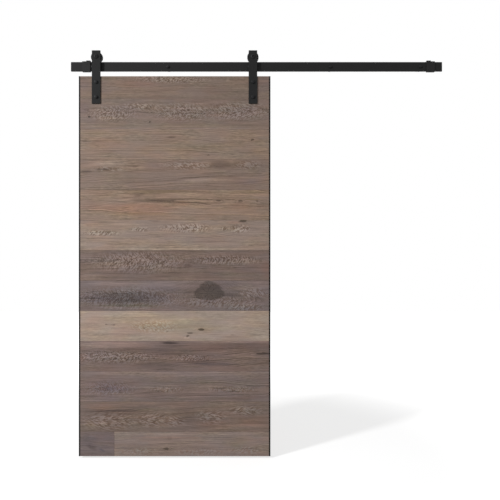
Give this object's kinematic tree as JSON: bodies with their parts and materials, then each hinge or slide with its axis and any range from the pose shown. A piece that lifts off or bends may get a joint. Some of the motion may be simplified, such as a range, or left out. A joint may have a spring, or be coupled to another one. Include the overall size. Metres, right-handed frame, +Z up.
{
  "type": "sliding barn door with rail",
  "caption": "Single sliding door of horizontal oak boards with black edge strips, hung by strap hangers with grooved wheels from a flat steel rail with end stops.",
  "frame": {"origin": "on the wall plane, on the axis of the middle wall fixing, at the rail's middle height", "axes": "+X along the rail, to the right seen from the room; +Y into the wall; +Z up"},
  "size_m": [2, 0.1214, 2.1773],
  "materials": {
    "black_coating": "fine-textured matt black powder coating",
    "black_fastener": "satin black oxide",
    "edge_strip_coating": "satin black paint",
    "zinc_steel": "bright zinc plating",
    "bearing_steel": "ground bearing steel",
    "cage_steel": "pressed steel",
    "spring_steel": "dark phosphated spring steel",
    "seal_rubber": "matt rubber",
    "bumper_rubber": "matt black rubber",
    "wheel_nylon": "matt black nylon",
    "core_plywood": "sealed birch plywood",
    "oak_plank_01": "brushed and fumed oak under matt oil",
    "oak_plank_02": "brushed and fumed oak under matt oil",
    "oak_plank_03": "brushed and fumed oak under matt oil",
    "oak_plank_04": "brushed and fumed oak under matt oil",
    "oak_plank_05": "brushed and fumed oak under matt oil",
    "oak_plank_06": "brushed and fumed oak under matt oil",
    "oak_plank_07": "brushed and fumed oak under matt oil",
    "oak_plank_08": "brushed and fumed oak under matt oil",
    "oak_plank_09": "brushed and fumed oak under matt oil",
    "oak_plank_10": "brushed and fumed oak under matt oil",
    "oak_plank_11": "brushed and fumed oak under matt oil",
    "oak_plank_12": "brushed and fumed oak under matt oil",
    "oak_plank_13": "brushed and fumed oak under matt oil",
    "oak_plank_13_short": "brushed and fumed oak under matt oil"
  },
  "bodies": {
    "track": {"rail": "black_coating", "wall_spacer_1": "black_coating", "wall_spacer_2": "black_coating", "wall_spacer_3": "black_coating", "wall_spacer_4": "black_coating", "wall_spacer_5": "black_coating", "wall_screws": "black_fastener", "wall_screw_washers": "black_fastener", "stop_body_left": "black_coating", "stop_body_right": "black_coating", "stop_bumper_left": "bumper_rubber", "stop_bumper_right": "bumper_rubber", "stop_screws": "black_fastener"},
    "door": {"core_panel": "core_plywood", "plank_01": "oak_plank_01", "plank_02": "oak_plank_02", "plank_03": "oak_plank_03", "plank_04": "oak_plank_04", "plank_05": "oak_plank_05", "plank_06": "oak_plank_06", "plank_07": "oak_plank_07", "plank_08": "oak_plank_08", "plank_09": "oak_plank_09", "plank_10": "oak_plank_10", "plank_11": "oak_plank_11", "plank_12": "oak_plank_12", "plank_13": "oak_plank_13", "plank_13_short": "oak_plank_13_short", "edge_strip_left": "edge_strip_coating", "edge_strip_right": "edge_strip_coating", "edge_strip_screws": "black_fastener", "hanger_strap_left": "black_coating", "hanger_strap_right": "black_coating", "hanger_bolts": "black_fastener", "hanger_bolt_washers": "zinc_steel", "hanger_bolt_nuts": "zinc_steel", "axle_bolt_left": "black_fastener", "axle_bolt_right": "black_fastener", "axle_spacer_left": "zinc_steel", "axle_spacer_right": "zinc_steel", "axle_shim_left": "zinc_steel", "axle_shim_right": "zinc_steel", "axle_nut_left": "zinc_steel", "axle_nut_right": "zinc_steel", "bearing_inner_left": "bearing_steel", "bearing_inner_right": "bearing_steel"},
    "wheel_left": {"wheel_left": "wheel_nylon", "bearing_outer_left": "bearing_steel", "bearing_seals_left": "seal_rubber", "bearing_clip_left": "spring_steel"},
    "ball_set_left": {"bearing_balls_left": "bearing_steel", "bearing_cage_left": "cage_steel"},
    "wheel_right": {"wheel_right": "wheel_nylon", "bearing_outer_right": "bearing_steel", "bearing_seals_right": "seal_rubber", "bearing_clip_right": "spring_steel"},
    "ball_set_right": {"bearing_balls_right": "bearing_steel", "bearing_cage_right": "cage_steel"}
  },
  "joints": [
    {"name": "door_slide", "type": "slide", "parent": "track", "child": "door", "axis": [1, 0, 0], "range_m": [-0.0093, 0.9106]},
    {"name": "wheel_spin_left", "type": "hinge", "parent": "door", "child": "wheel_left", "pos_m": [-0.82, -0.03517, 0.0504], "axis": [0, 1, 0], "continuous": true},
    {"name": "ball_set_spin_left", "type": "hinge", "parent": "door", "child": "ball_set_left", "pos_m": [-0.82, -0.03517, 0.0504], "axis": [0, 1, 0], "continuous": true},
    {"name": "wheel_spin_right", "type": "hinge", "parent": "door", "child": "wheel_right", "pos_m": [0.0207, -0.03517, 0.0504], "axis": [0, 1, 0], "continuous": true},
    {"name": "ball_set_spin_right", "type": "hinge", "parent": "door", "child": "ball_set_right", "pos_m": [0.0207, -0.03517, 0.0504], "axis": [0, 1, 0], "continuous": true}
  ],
  "couplings": [
    {"joint": "wheel_spin_left", "follows": "door_slide", "rad_per_m": 40},
    {"joint": "ball_set_spin_left", "follows": "door_slide", "rad_per_m": 24.76},
    {"joint": "wheel_spin_right", "follows": "door_slide", "rad_per_m": 40},
    {"joint": "ball_set_spin_right", "follows": "door_slide", "rad_per_m": 24.76}
  ]
}
